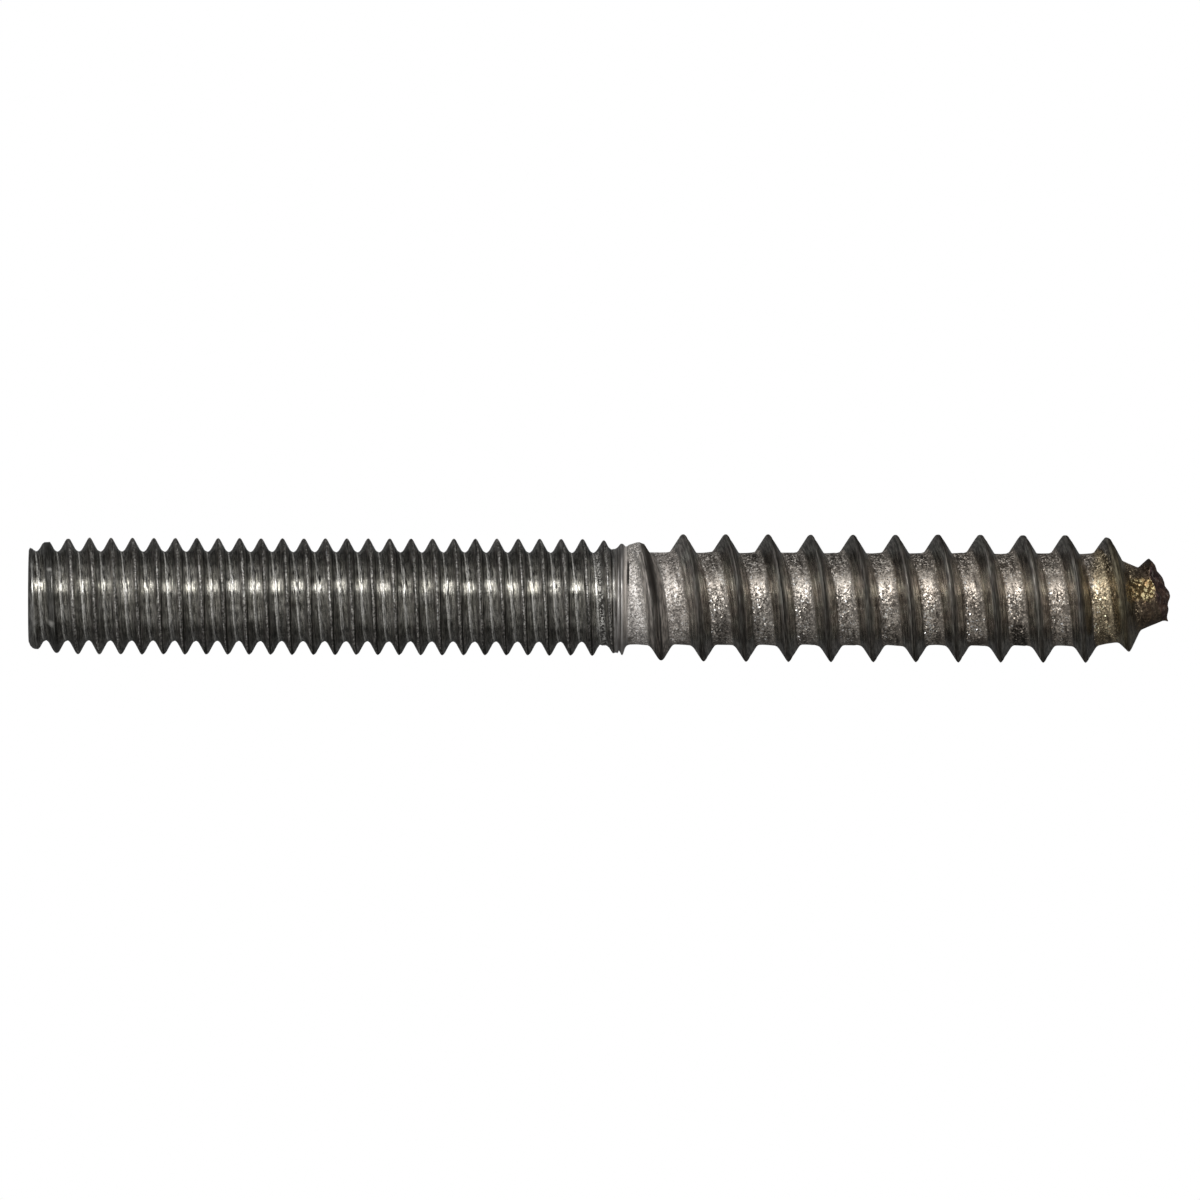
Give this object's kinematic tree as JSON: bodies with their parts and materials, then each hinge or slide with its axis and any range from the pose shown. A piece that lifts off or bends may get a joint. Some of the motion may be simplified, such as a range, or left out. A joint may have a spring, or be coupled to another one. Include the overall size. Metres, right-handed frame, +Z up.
{
  "type": "hanger bolt",
  "caption": "Double-ended stud with a machine thread on one half and a coarse wood thread on the other; its gimlet point has broken off.",
  "frame": {"origin": "centre of the flat end face of the machine-threaded half, on the bolt's axis", "axes": "+X along the bolt's axis from the machine-threaded end to the broken point, +Z up as it lies on its side"},
  "size_m": [0.075, 0.0084, 0.0084],
  "materials": {
    "steel": "cold-rolled, dull dark grey, bright and grainy in the wood thread's roots"
  },
  "bodies": {
    "root": {"hanger_bolt": "steel"}
  },
  "joints": []
}
